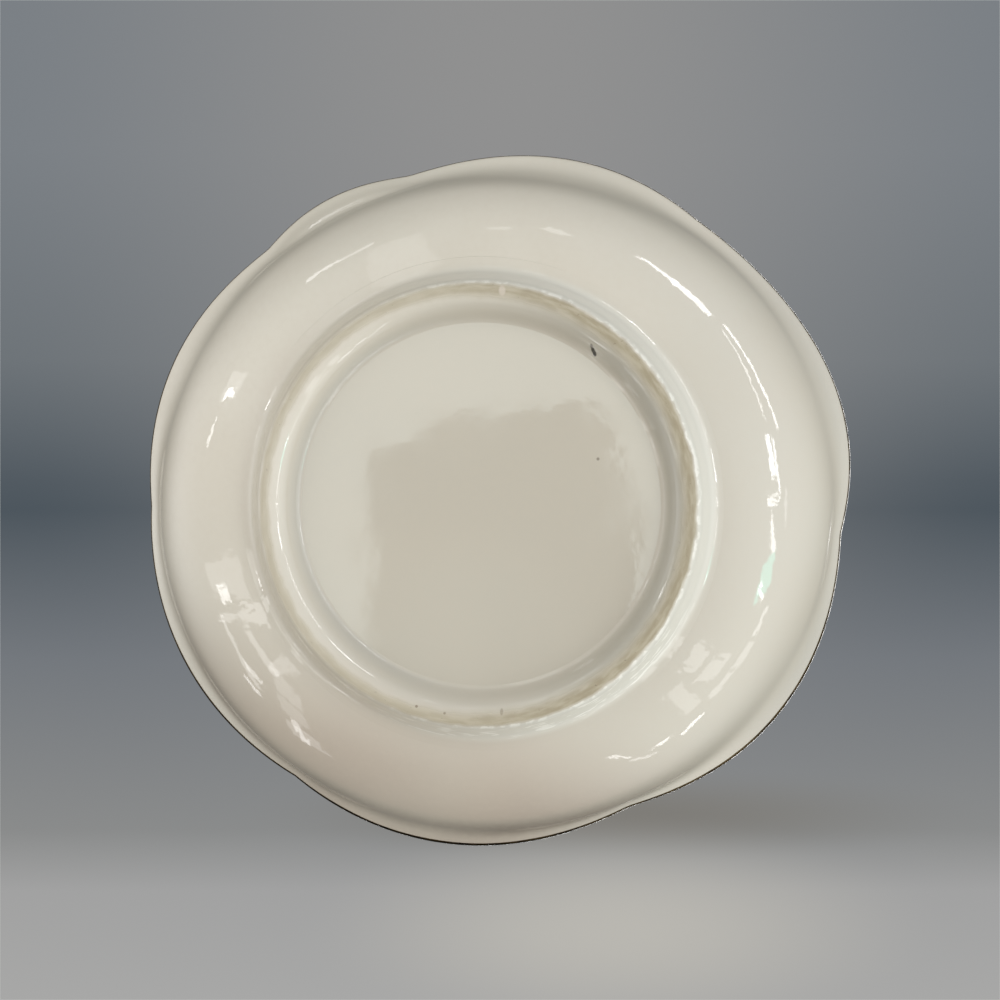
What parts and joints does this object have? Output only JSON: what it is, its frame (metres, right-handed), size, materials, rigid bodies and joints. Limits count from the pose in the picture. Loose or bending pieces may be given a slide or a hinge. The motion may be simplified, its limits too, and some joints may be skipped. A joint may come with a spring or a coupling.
{
  "type": "trinket dish",
  "caption": "Small round porcelain dish with a scalloped flared lip, glazed cream white with a gilt edge line, standing on a foot ring; holds rings, coins and other trinkets.",
  "frame": {"origin": "middle of the foot ring's tread, on the surface that the dish stands on", "axes": "+Z up along the axis that the dish is turned about, out of the bowl's mouth; +Y is up in the pictured view of the underside, where -X is to the right"},
  "size_m": [0.1123, 0.1096, 0.0191],
  "materials": {
    "glazed_porcelain": "glossy clear glaze over cream-white porcelain",
    "foot_porcelain": "glazed flanks, bare tan-stained tread",
    "gilt": "dull fired gilding"
  },
  "bodies": {
    "root": {"dish_body": "glazed_porcelain", "foot_ring": "foot_porcelain", "rim_gilding": "gilt"}
  },
  "joints": []
}
